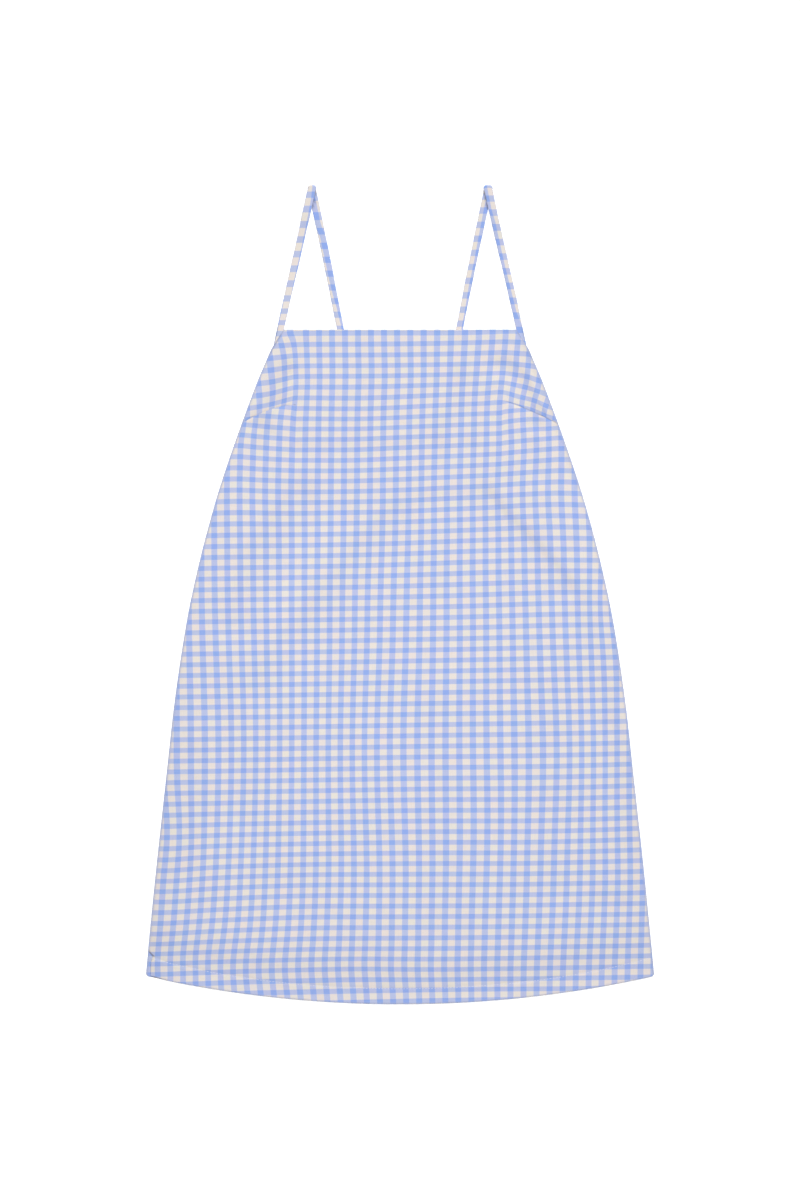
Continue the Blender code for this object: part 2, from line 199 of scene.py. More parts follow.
frontLook = {                     # millimetres
    "wall": 0.9,
    "rest": 2.55,                 # height of its upper side along the edges
    "crown": 2.6,                 # further rise to the middle
    "sideRoll": 58, "hemRoll": 50, "neckRoll": 120,              # it rises over these distances
    "hemFlat": 0.8,               # share of the hem's width that stays down
    "hemSink": 0.45, "sinkFrom": 70, "sinkOver": 55,             # it lies lower again toward the hem
    "lowestTop": 1.9, "lowestUnder": 1.14,                       # clear of the back
    "sideRound": 1.4, "hemRound": 0.8, "neckRound": 1.2,         # radius of its edges
    "bulge": 0.35,                # an edge's outermost line, as a share of the wall from below
    "columns": 136, "rowStep": 3.5,
    "waves": 0.09,                # slow unevenness
    "looseSides": 13, "looseNeck": 18, "looseHem": 30,           # creases run out this near to an edge
    "sidePress": 0.45, "sidePressWidth": 3.5,                    # pressed side seam
    "allowance": 0.16, "allowanceAt": 9, "allowanceWidth": 3.0,  # and its allowance under the cloth
    "hemRaise": 0.24, "turnWidth": 3.2,                          # turned hem
    "pucker": 0.10, "puckerFade": 6, "puckerStretch": 0.3,       # uneven cloth along it
    "stitchDip": 0.24, "stitchWidth": 1.5, "stitchPucker": 0.06,
    "hemStep": 0.25, "hemStepAt": 12, "hemStepWidth": 8,         # the cloth sinks above the turned hem
    "neckRidge": 0.12, "neckRidgeAt": 7, "neckRidgeWidth": 3.5,  # turned-in neck edge
    # how far the front lies inside the back at the left hem corner: below the neckline, millimetres
    "cornerInset": ((657, 0), (659, 0.6), (662, 3.6), (664.5, 5.6), (667, 4.8), (671, 4.2),
                    (677, 4.5), (688, 5.6)),
    "cornerWidth": 0.1,           # share of the half width that takes part in it
    "dartDip": 0.5, "dartDipWidth": 1.1, "dartDipOff": 0.7,
    "dartPuff": 0.5, "dartPuffWidth": 6.5, "dartPuffOff": 9,     # fuller cloth above a dart
    "dartBegin": 0.2, "puffBegin": 0.5,                          # share of a dart's length
    "dartEnd": 3, "puffEnd": 8,   # both run out this near to the side seam
    "dartSlant": 0.92,            # cosine of its seam's slant
    "dartLineWidth": 0.45,
    "creaseFade": 0.3, "shadowFade": 0.1,                        # share of its length over which one runs out
    "creaseShade": 0.018,         # painted shade: how much darker a crease is for each millimetre of its depth
    # width, height, how much wider its side toward the hem is, then its points from left to right:
    # across and below the neckline
    "creases": (
        (15, -2.1, 3.3, ((82, 158), (90, 173), (111, 199), (137, 225), (163, 253), (190, 290))),
        (30, 0.35, 1, ((70, 168), (156, 270))),
        (20, -1.35, 2.4, ((-189, 338), (-178, 288), (-161, 250), (-136, 208), (-106, 171), (-92, 154))),
        (20, -1.2, 2.4, ((-167, 403), (-145, 369), (-118, 332), (-87, 291), (-60, 259), (-39, 233),
                         (-18, 206), (14, 177))),
        (18, -0.6, 2.0, ((0, 184), (40, 180), (80, 172))),
        (30, -0.6, 1, ((-176, 360), (-171, 450), (-171, 540))),
        (16, -1.35, 1.2, ((38, 166), (42, 110), (58, 84), (64, 30))),
        (14, -0.7, 1.5, ((60, 120), (90, 128))),
        (18, -0.45, 1.6, ((-138, 127), (-20, 129), (60, 119))),
        (14, -2.3, 1.3, ((84, 38), (112, 38), (128, 52), (135, 70), (141, 88), (151, 116))),
        (16, 0.8, 1, ((136, 36), (152, 76))),
        (11, -0.8, 1.5, ((130, 104), (152, 102))),
        (16, -0.9, 1, ((140, 108), (148, 170))),
        (18, -2.6, 1.2, ((-152, 122), (-150, 104), (-143, 82), (-130, 58), (-116, 28))),
        (12, -0.9, 1.5, ((-146, 76), (-108, 74))),
        (11, -0.8, 1.6, ((-140, 44), (-104, 42))),
        (12, -0.9, 1.5, ((-160, 126), (-128, 104))),
        (13, 0.6, 1, ((-112, 30), (-122, 84))),
        (26, -0.7, 1, ((-216, 430), (-226, 600))),
        (50, 0.4, 1, ((-120, 320), (-116, 580))),
        (24, -1.0, 1.4, ((176, 262), (198, 314), (212, 372), (226, 440))),
        (40, -0.6, 1, ((150, 360), (158, 620))),
        (52, -0.35, 1, ((40, 380), (46, 670))),
        (28, -0.7, 1, ((228, 400), (246, 580))),
        (20, -0.7, 1.5, ((196, 598), (254, 618))),
        (50, 0.35, 1, ((-30, 400), (-34, 660)))),
    # painted shadows and shade, soft or thin, in the same way: width, how dark (below 0 it is painted light),
    # 1, points
    "shadows": (
        (1.8, 0.35, 1, ((-111.5, 79.3), (-110.8, 80.2))),
        (8, 0.07, 1, ((121, 4), (133.5, 20), (148, 54), (164, 96), (179, 138), (192, 178))),
        (9, 0.035, 1, ((192, 178), (210, 244), (224, 308), (236, 393))),
        (1.6, 0.52, 1, ((-125, 3), (-129, 10), (-134, 18), (-141, 31))),
        (1.5, 0.45, 1, ((124, 2), (131, 11), (136, 20), (141, 33))),
        (1.5, 0.5, 1, ((-266, 657), (-265, 660), (-262, 663), (-259.5, 665))),
        (2.2, 0.12, 1, ((147, 78), (156, 92))),
        (2.4, 0.12, 1, ((-262, 580), (-268, 634))),
        (2.2, 0.25, 1, ((266, 640), (269, 684))),
        (44, 0.03, 1, ((-262, 684), (-268, 630))),
        (22, 0.03, 1, ((-152, 134), (-146, 88))),
        (44, -0.016, 1, ((-140, 312), (-96, 240), (-58, 188)))),
}
longestFade = 26.0                # a crease runs out over this length at most, in millimetres


def creaseHeight(x, below, creases, fade):
    # each crease runs out over the given share of its length at both ends
    total = np.zeros_like(x)
    for width, height, soft, line in creases:
        steps = np.hypot(*np.diff(np.array(line), axis=0).T)
        nearest, value, start = np.full(x.shape, 1e9), np.zeros_like(x), 0
        ends = min(fade * steps.sum(), longestFade)
        for (fromX, fromBelow), (toX, toBelow), step in zip(line, line[1:], steps):
            dx, dy = (toX - fromX) / step, (toBelow - fromBelow) / step
            along = (x - fromX) * dx + (below - fromBelow) * dy
            across = (x - fromX) * dy - (below - fromBelow) * dx
            held = np.clip(along, 0, step)
            distance = np.hypot(across, along - held)
            t = start + held
            reach = np.where(across < 0, width / 2 * soft, width / 2)
            here = bell(distance, reach) * smooth(t / ends) * smooth((steps.sum() - t) / ends)
            value = np.where(distance < nearest, here, value)
            nearest = np.minimum(nearest, distance)
            start += step
        total += height * value
    return total


def softWaves(x, below, seed, count, shortest, longest):
    # a slow unevenness that pressed cloth keeps; about -1 to 1
    draw = np.random.default_rng(seed)
    total = np.zeros_like(x)
    for _ in range(count):
        turn, phase = draw.uniform(0, math.pi), draw.uniform(0, 2 * math.pi)
        wave = draw.uniform(shortest, longest)
        total += np.sin(2 * math.pi * (x * math.cos(turn) + below * math.sin(turn)) / wave + phase)
    return total / math.sqrt(count)


def frontTop(x, below):
    look = frontLook
    sideGap, hemGap = edgeGaps(x, below)
    band = hemBandWidth(x, below)
    crown = swell(sideGap / look["sideRoll"]) * swell(below / look["neckRoll"])
    crown = crown * swell((hemGap - look["hemFlat"] * band) / look["hemRoll"])
    z = look["rest"] + look["crown"] * crown
    loose = smooth(sideGap / look["looseSides"]) * smooth(below / look["looseNeck"])
    loose = loose * smooth((hemGap - band) / look["looseHem"])
    waves = look["waves"] * softWaves(x, below, seed=4, count=9, shortest=34, longest=110)
    z = z + (creaseHeight(x, below, look["creases"], look["creaseFade"]) + waves) * loose
    z = z - look["hemSink"] * smooth((look["sinkFrom"] - hemGap) / look["sinkOver"])
    z = z - look["sidePress"] * bell(sideGap, look["sidePressWidth"])
    z = z + look["allowance"] * bell(sideGap - look["allowanceAt"], look["allowanceWidth"])
    pucker = softWaves(x, hemGap * look["puckerStretch"], seed=7, count=5, shortest=14, longest=34)
    turned = smooth((band + look["turnWidth"] / 2 - hemGap) / look["turnWidth"])
    z = z + turned * (look["hemRaise"] + look["pucker"] * pucker * smooth(hemGap / look["puckerFade"]))
    z = z - (look["stitchDip"] + look["stitchPucker"] * pucker) * bell(hemGap - band, look["stitchWidth"])
    z = z - look["hemStep"] * bell(hemGap - band - look["hemStepAt"], look["hemStepWidth"])
    z = z + look["neckRidge"] * bell(below - look["neckRidgeAt"], look["neckRidgeWidth"])
    for side in darts:
        t, seam = alongDart(side, x)
        away = (below - seam) * look["dartSlant"]
        begun = smooth(t / look["dartBegin"]) * smooth(sideGap / look["dartEnd"])
        z = z - look["dartDip"] * begun * bell(away - look["dartDipOff"], look["dartDipWidth"])
        full = smooth(t / look["puffBegin"]) * smooth(sideGap / look["puffEnd"])
        z = z + look["dartPuff"] * full * bell(away + look["dartPuffOff"], look["dartPuffWidth"])
    return z


backLook = {                      # millimetres; its upper side is inside the dress
    "wall": 0.85,
    "rest": 0.06,
    "sideRound": 0.8, "hemRound": 0.8, "neckRound": 0.8, "bulge": 0.5,
    "columns": 92, "rowStep": 5.2,
    "sideRoll": 45, "hemRoll": 60, "neckRoll": 50,               # it is flat along the edges
    "hemBand": 17.0, "stitchDip": 0.18, "stitchWidth": 1.5,
    "hemStep": 0.10, "hemStepWidth": 3,                          # it lies higher above its turned hem
    "waves": 0.05,
    "creaseFade": 0.25,
    # as on the front
    "creases": (
        (30, 0.6, 1, ((-190, 300), (-90, 150))),
        (26, 0.65, 1, ((70, 130), (120, 180), (165, 250))),
        (30, 0.45, 1, ((-60, 330), (30, 210))),
        (38, 0.5, 1, ((185, 290), (188, 530))),
        (44, 0.45, 1, ((-160, 580), (-150, 330))),
        (52, 0.4, 1, ((10, 320), (20, 620))),
        (40, 0.35, 1, ((100, 370), (108, 630))),
        (22, 0.4, 1, ((-110, 60), (-40, 74))),
        (20, 0.4, 1, ((60, 66), (120, 52))),
        (46, 0.35, 1, ((-66, 660), (-60, 410)))),
}


def backUnder(x, below):
    look = backLook
    sideGap, hemGap = edgeGaps(x, below)
    topGap = below - dressCut["backDrop"]
    inside = swell(sideGap / look["sideRoll"]) * swell(hemGap / look["hemRoll"])
    inside = inside * swell(topGap / look["neckRoll"])
    creases = creaseHeight(x, below, look["creases"], look["creaseFade"])
    z = look["rest"] + np.maximum(0, creases) * smooth(inside)
    z = z + look["stitchDip"] * bell(hemGap - look["hemBand"], look["stitchWidth"])
    z = z + look["hemStep"] * smooth((hemGap - look["hemBand"]) / look["hemStepWidth"])
    waves = softWaves(x, below, seed=12, count=7, shortest=40, longest=120)
    return z + look["waves"] * (1 + np.clip(waves, -1, 1)) * inside


def fillBetween(stops, step):
    stops = sorted(set(stops))
    filled = []
    for low, high in zip(stops, stops[1:]):
        count = max(1, round((high - low) / step))
        filled += [low + (high - low) * k / count for k in range(count)]
    return np.array(filled + [stops[-1]])


def panelGrid(top, look, extraRows, withDarts):
    # rows run from the top edge to the hem, columns from the left side to the right
    length, edge = dressCut["panelLength"], dressCut["edgeSteps"]
    margin = edge[-1]
    stops = [top + gap for gap in edge] + [length - gap for gap in edge] + extraRows
    centre = fillBetween(stops, look["rowStep"])[:, None]
    rise = dressCut["hemRise"] * smooth((centre - top) / (length - top))
    ends = halfWidth(centre - rise)
    inner = np.linspace(-1, 1, look["columns"] + 1)[None, 1:-1]
    rim = np.array(edge)[None, :]
    u = np.hstack([-(1 - rim / ends), inner * (1 - margin / ends), (1 - rim / ends)[:, ::-1]])
    lift = rise * u ** 2
    if withDarts:
        bend = smooth(1 - np.abs(centre - dartMiddle) / dartReach)
        onDart = np.zeros_like(u)
        for side in darts:
            dart = darts[side]
            (tipX, tipBelow), (endX, endBelow) = dart["tip"], dart["end"]
            tipU = tipX / halfWidth(np.array(tipBelow))
            t = np.clip((side * u - tipU) / (1 - tipU), 0, 1)
            toTip = (tipBelow - dartMiddle) * smooth(side * u / tipU)
            line = toTip + (endBelow - tipBelow) * t ** dart["bow"]
            onDart += np.where(side * u > 0, line, 0)
        lift = lift * (1 - bend) - bend * onDart
    below = centre - lift
    x = u * halfWidth(below)
    return centre[:, 0], x, below


def roundCorners(x, below):
    # the square of cloth at each hem corner becomes a quarter round
    r = dressCut["cornerRound"]
    sideGap, hemGap = edgeGaps(x, below)
    a, b = np.clip(1 - sideGap / r, 0, 1), np.clip(1 - hemGap / r, 0, 1)
    scale = np.where((a > 0) & (b > 0), np.maximum(a, b) / np.maximum(np.hypot(a, b), 1e-9), 1)
    return x - np.sign(x) * r * a * (1 - scale), below - r * b * (1 - scale)


def addToScene(name, data):
    made = bpy.data.objects.new(name, data)
    bpy.context.scene.collection.objects.link(made)
    return made


def finishMesh(name, points, faces, uvLayers, material, shades=None):
    mesh = bpy.data.meshes.new(name)
    mesh.from_pydata([tuple(p) for p in np.asarray(points) * mm], [], faces)
    for layerName, values in uvLayers.items():
        layer = mesh.uv_layers.new(name=layerName)
        layer.data.foreach_set("uv", np.asarray(values, dtype=np.float32).ravel())
    mesh.polygons.foreach_set("use_smooth", [True] * len(mesh.polygons))
    for shadeName, values in (shades or {}).items():
        layer = mesh.attributes.new(shadeName, "FLOAT", "POINT")
        layer.data.foreach_set("value", np.asarray(values, dtype=np.float32).ravel())
    mesh.materials.append(material)
    mesh.update()
    return addToScene(name, mesh)


# a baked picture has the seen side at full size and the other small beside it, as shares of it
bakeMap = {"margin": 0.01, "smallSize": 0.27, "smallFrom": 0.78}


def clothShell(name, x, below, top, under, grainAt, splitRow, bigSide, shades):
    # a wall with both its sides, joined round the rim; bigSide, top or under, is the one that is seen
    rows, columns = x.shape
    outX, outBelow = roundCorners(x, below)
    y = dressCut["neckY"] - outBelow
    upper = np.stack([outX, y, top], -1).reshape(-1, 3)
    lower = np.stack([outX, y, under], -1).reshape(-1, 3)
    place = np.arange(rows * columns).reshape(rows, columns)
    inner = np.zeros((rows, columns), bool)
    inner[1:-1, 1:-1] = True
    placeUnder = place.copy()
    placeUnder[inner] = rows * columns + np.arange(inner.sum())
    points = np.vstack([upper, lower[inner.ravel()]])
    grains = {part: np.stack(grainAt(x, below, part), -1).reshape(-1, 2) for part in ("above", "below")}
    spread = np.stack([outX, y], -1).reshape(-1, 2)
    low, size = spread.min(0), np.ptp(spread, 0)
    flat = (spread - low) / size[1]                      # height fills the map
    margin = bakeMap["margin"]
    maps = {True: flat * (1 - 2 * margin) + margin,
            False: flat * bakeMap["smallSize"] + (bakeMap["smallFrom"], margin)}
    mapUpper, mapUnder = maps[bigSide == "top"], maps[bigSide != "top"]
    faces, grain, bake = [], [], []
    for r in range(rows - 1):
        part = grains["above" if r < splitRow else "below"]
        a, b = place[r, :-1], place[r, 1:]
        c, d = place[r + 1, 1:], place[r + 1, :-1]
        quads = np.stack([a, d, c, b], -1)
        faces += quads.tolist()
        grain.append(part[quads])
        bake.append(mapUpper[quads])
        flipped = np.stack([a, b, c, d], -1)
        faces += np.stack([placeUnder[r, :-1], placeUnder[r, 1:],
                           placeUnder[r + 1, 1:], placeUnder[r + 1, :-1]], -1).tolist()
        grain.append(part[flipped])
        bake.append(mapUnder[flipped])
    layers = {"grain": np.concatenate([g.reshape(-1, 2) for g in grain]),
              "OFBake": np.concatenate([g.reshape(-1, 2) for g in bake])}
    pointShades = {key: np.concatenate([values.ravel(), values[inner]]) for key, values in shades.items()}
    return finishMesh(name, points, faces, layers, panelCloth, pointShades)


# materials; colours are linear
clothLook = {
    "cream": (0.763, 0.700, 0.650),
    "downStripe": (0.462, 0.513, 0.748),
    "acrossStripe": (0.468, 0.513, 0.726),
    "crossing": (0.276, 0.397, 0.778),
    "creamHalfAcross": 0.272,     # half the cream band, in repeats
    "creamHalfDown": 0.275,
    "bandSoftness": 0.018,
    "squareTint": 0.035,          # how much one square differs from the next
    "yarnStreak": 0.05,
    "streakFine": 1.6,            # how often a streak changes, across for each pair of yarns
    "streakLong": 0.7,            # and along for each repeat
    "yarnsPerRepeat": (17, 14),   # pairs of yarns
    # painted shade that follows the weave's relief
    "weaveShade": 0.05,
    "weaveDepth": 0.00006,        # metres
    "weaveBump": 0.5, "streakBump": 3.0,
    "roughness": 0.88, "streakRough": 0.2,
    "sheen": 0.12, "sheenRoughness": 0.5,
    "specular": 0.25,
    # what follows is painted shade and light on the cloth; reaches and places are millimetres from the edge
    # the colour of the painted shade along the cloth's edges
    "paintedEdgeShade": (0.400, 0.445, 0.640),
    "edgeShade": 0.72, "edgeAt": 0.8, "edgeReach": 1.2,     # share of that painted shade's colour along the side seams
    "edgeDepth": 3,               # no less of it farther in than here
    # painted shade along the hem, in the same colour
    "hemShade": 0.34, "hemShadeAt": 0.9, "hemShadeReach": 1.0,
    "mostEdge": 0.9,
    "sideShade": 0.05, "sideShadeReach": 24,                # painted shade: the cloth is a little darker along its lower sides
    "sideShadeFrom": 150, "sideShadeOver": 450,             # below the neckline
    "hemLight": 0.12, "hemLightReach": 0.7,                 # and painted light makes its hem's edge lighter
    "rimShade": 0.05, "rimAt": 1.2, "rimReach": 1.2,        # painted shade, a darker line at the sides and the top
}


def newMaterial(name):
    material = bpy.data.materials.new(name)
    material.use_nodes = True
    tree = material.node_tree
    return material, tree, tree.nodes["Principled BSDF"]


def fill(tree, node, values):
    # by input; numbers, colours and vectors are set, and anything else is linked
    for key, value in values.items():
        socket = node.inputs[key]
        if isinstance(value, (int, float)):
            socket.default_value = value
        elif isinstance(value, tuple):
            socket.default_value = (*value, 1)[:len(socket.default_value)]
        else:
            tree.links.new(value, socket)


def calc(tree, operation, *values):
    made = tree.nodes.new("ShaderNodeMath")
    made.operation = operation
    fill(tree, made, dict(enumerate(values)))
    return made.outputs[0]


def calcColour(tree, operation, values):
    made = tree.nodes.new("ShaderNodeVectorMath")
    made.operation = operation
    fill(tree, made, values)
    return made.outputs[0]


def mixColour(tree, share, first, second):
    made = tree.nodes.new("ShaderNodeMix")
    made.data_type = "RGBA"
    fill(tree, made, {0: share, 6: first, 7: second})
    return made.outputs[2]


def combine(tree, *values):
    made = tree.nodes.new("ShaderNodeCombineXYZ")
    fill(tree, made, dict(enumerate(values)))
    return made.outputs[0]


def separate(tree, place):
    made = tree.nodes.new("ShaderNodeSeparateXYZ")
    fill(tree, made, {0: place})
    return made.outputs


def noise(tree, place, scale, detail):
    made = tree.nodes.new("ShaderNodeTexNoise")
    fill(tree, made, {"Vector": place, "Scale": scale, "Detail": detail})
    return made.outputs["Fac"]


def pointShade(tree, name):
    made = tree.nodes.new("ShaderNodeAttribute")
    made.attribute_name = name
    return made.outputs["Fac"]


def addBump(tree, shader, height, strength, depth):
    made = tree.nodes.new("ShaderNodeBump")
    fill(tree, made, {"Strength": strength, "Distance": depth, "Height": height})
    fill(tree, shader, {"Normal": made.outputs[0]})


def checkCloth(name, look):
    material, tree, shader = newMaterial(name)
    grain = tree.nodes.new("ShaderNodeUVMap")
    grain.uv_map = "grain"
    across, down, _ = separate(tree, grain.outputs[0])
    masks, cells = [], []
    for place, half in ((across, look["creamHalfAcross"]), (down, look["creamHalfDown"])):
        distance = calc(tree, "PINGPONG", place, 0.5)          # from the middle of the nearest cream band
        band = tree.nodes.new("ShaderNodeMapRange")
        band.interpolation_type = "SMOOTHSTEP"
        fill(tree, band, {"Value": distance, "From Min": half - look["bandSoftness"],
                          "From Max": half + look["bandSoftness"]})
        masks.append(band.outputs["Result"])
        dark = calc(tree, "GREATER_THAN", distance, half)
        cells.append(calc(tree, "ADD", calc(tree, "FLOOR", calc(tree, "ADD", place, half)),
                          calc(tree, "MULTIPLY", dark, 0.5)))
    plain = mixColour(tree, masks[0], look["cream"], look["downStripe"])
    crossed = mixColour(tree, masks[0], look["acrossStripe"], look["crossing"])
    colour = mixColour(tree, masks[1], plain, crossed)

    yarnAcross, yarnDown = look["yarnsPerRepeat"]
    weave = calc(tree, "MULTIPLY",
                 calc(tree, "SINE", calc(tree, "MULTIPLY", across, 2 * math.pi * yarnAcross)),
                 calc(tree, "SINE", calc(tree, "MULTIPLY", down, 2 * math.pi * yarnDown)))
    fine, long = look["streakFine"], look["streakLong"]
    warpStreak = noise(tree, combine(tree, calc(tree, "MULTIPLY", across, yarnAcross * fine),
                                     calc(tree, "MULTIPLY", down, long), 0), 1.0, 2.0)
    weftStreak = noise(tree, combine(tree, calc(tree, "MULTIPLY", across, long),
                                     calc(tree, "MULTIPLY", down, yarnDown * fine), 3), 1.0, 2.0)
    streak = calc(tree, "ADD", calc(tree, "SUBTRACT", warpStreak, 0.5),
                  calc(tree, "SUBTRACT", weftStreak, 0.5))
    # painted shade on the weave's relief, yarn streaks of tone, then the painted shade and light from the
    # points
    shade = calc(tree, "ADD", calc(tree, "MULTIPLY", weave, look["weaveShade"]),
                 calc(tree, "MULTIPLY", streak, look["yarnStreak"] * 2))
    shade = calc(tree, "ADD", shade, 1.0)
    shade = calc(tree, "SUBTRACT", shade, pointShade(tree, "softShade"))

    square = tree.nodes.new("ShaderNodeTexWhiteNoise")
    square.noise_dimensions = "3D"
    fill(tree, square, {"Vector": combine(tree, cells[0], cells[1], 0.0)})
    tint = calcColour(tree, "MULTIPLY_ADD", {0: square.outputs["Color"], 1: (look["squareTint"],) * 3,
                                             2: (1 - look["squareTint"] / 2,) * 3})
    tinted = calcColour(tree, "MULTIPLY", {0: colour, 1: tint})
    shaded = calcColour(tree, "SCALE", {0: tinted, "Scale": shade})
    final = mixColour(tree, pointShade(tree, "paintedEdgeShade"), shaded, look["paintedEdgeShade"])

    relief = calc(tree, "ADD", weave, calc(tree, "MULTIPLY", streak, look["streakBump"]))
    addBump(tree, shader, relief, look["weaveBump"], look["weaveDepth"])
    rough = calc(tree, "ADD", calc(tree, "MULTIPLY", streak, look["streakRough"]), look["roughness"])
    fill(tree, shader, {"Base Color": final, "Roughness": rough, "Specular IOR Level": look["specular"],
                        "Sheen Weight": look["sheen"], "Sheen Roughness": look["sheenRoughness"]})
    return material


threadLook = {
    "colour": (0.76, 0.76, 0.84),
    "dark": (0.62, 0.63, 0.74),   # painted shade between its strands
    "roughness": 0.7,
    "twist": 14000.0,             # strands, in radians for each metre
    "twistBump": 0.4, "twistDepth": 0.00004,
}


def threadMaterial(name, look):
    material, tree, shader = newMaterial(name)
    place = tree.nodes.new("ShaderNodeTexCoord")
    placeX, _, placeZ = separate(tree, place.outputs["Object"])
    twist = calc(tree, "SINE", calc(tree, "MULTIPLY", calc(tree, "ADD", placeX, placeZ), look["twist"]))
    # the thread's colour goes toward its painted shade between strands
    share = calc(tree, "MULTIPLY_ADD", twist, 0.5, 0.5)
    fill(tree, shader, {"Base Color": mixColour(tree, share, look["dark"], look["colour"]),
                        "Roughness": look["roughness"]})
    addBump(tree, shader, twist, look["twistBump"], look["twistDepth"])
    return material


panelCloth = checkCloth("checkCotton", clothLook)
thread = threadMaterial("hemThread", threadLook)
print("materials ready")


def panelShades(x, below, top):
    look = clothLook
    sideGap, hemGap = edgeGaps(x, below)
    rim = np.minimum(sideGap, np.abs(below - top))
    # painted shade along the lower sides, painted light along the hem's edge, and a painted darker line at
    # the rim
    turned = smooth((below - look["sideShadeFrom"]) / look["sideShadeOver"])
    soft = look["sideShade"] * np.exp(-sideGap / look["sideShadeReach"]) * turned
    soft = soft - look["hemLight"] * bell(hemGap, look["hemLightReach"])
    soft = soft + look["rimShade"] * bell(rim - look["rimAt"], look["rimReach"])
    # painted shade along the side seams and the hem, as a share of its colour
    nearSide = np.minimum(sideGap, look["edgeDepth"]) - look["edgeAt"]
    edgeShadeShare = look["edgeShade"] * bell(nearSide, look["edgeReach"])
    edgeShadeShare = edgeShadeShare + look["hemShade"] * bell(hemGap - look["hemShadeAt"], look["hemShadeReach"])
    return {"softShade": soft, "paintedEdgeShade": np.minimum(edgeShadeShare, look["mostEdge"])}


def roundRim(x, below, edge, top, under, look):
    # both sides of the wall come together along its edges; edge is where its top edge lies
    sideGap, hemGap = edgeGaps(x, below)
    rim = np.minimum(roundEdge(sideGap, look["sideRound"]), roundEdge(hemGap, look["hemRound"]))
    rim = np.minimum(rim, roundEdge(below - edge, look["neckRound"]))
    middle = under + look["bulge"] * (top - under)
    return middle + (top - middle) * rim, middle - (middle - under) * rim


def makeFront():
    look = frontLook
    length = dressCut["panelLength"]
    around = [0, 0.8, 1.6, 2.6, 4, 6, 9]                # more rows at the darts, and at the hem's stitches
    extra = [dartMiddle + gap for gap in around] + [dartMiddle - gap for gap in around]
    extra += [length - gap for gap in np.arange(13.0, 23.0, 1.0)]
    centre, x, below = panelGrid(0, look, extra, withDarts=True)
    top = np.maximum(frontTop(x, below), look["lowestTop"])
    under = np.maximum(top - look["wall"], look["lowestUnder"])
    top, under = roundRim(x, below, 0, top, under, look)
    inset = np.interp(below, *np.array(look["cornerInset"]).T)
    taper = smooth((-x / halfWidth(below) - (1 - look["cornerWidth"])) / look["cornerWidth"])
    x = x + np.where(x < 0, inset * taper, 0)
    splitRow = int(np.argmin(np.abs(centre - dartMiddle)))
    shades = panelShades(x, below, 0)
    # painted shade in the creases, by their depth, and the listed painted shadows
    depth = np.maximum(0, -creaseHeight(x, below, look["creases"], look["creaseFade"]))
    paintedShadows = creaseHeight(x, below, look["shadows"], look["shadowFade"])
    # and painted shade along each dart's seam
    for side in darts:
        t, seam = alongDart(side, x)
        paintedShadows = paintedShadows + darts[side]["line"] * smooth(t * 6) * bell(below - seam, look["dartLineWidth"])
    shades["softShade"] = shades["softShade"] + look["creaseShade"] * depth + paintedShadows
    return clothShell("frontCloth", x, below, top, under, clothGrain, splitRow, "top", shades)


def makeBack():
    look = backLook
    length, top = dressCut["panelLength"], dressCut["backDrop"]
    extra = [length - gap for gap in np.arange(14.0, 21.0, 1.5)]         # more rows at the hem's stitches
    centre, x, below = panelGrid(top, look, extra, withDarts=False)
    under = backUnder(x, below)
    upper, under = roundRim(x, below, top, under + look["wall"], under, look)
    shades = panelShades(x, below, top)
    return clothShell("backCloth", x, below, upper, under, backGrain, 0, "under", shades)


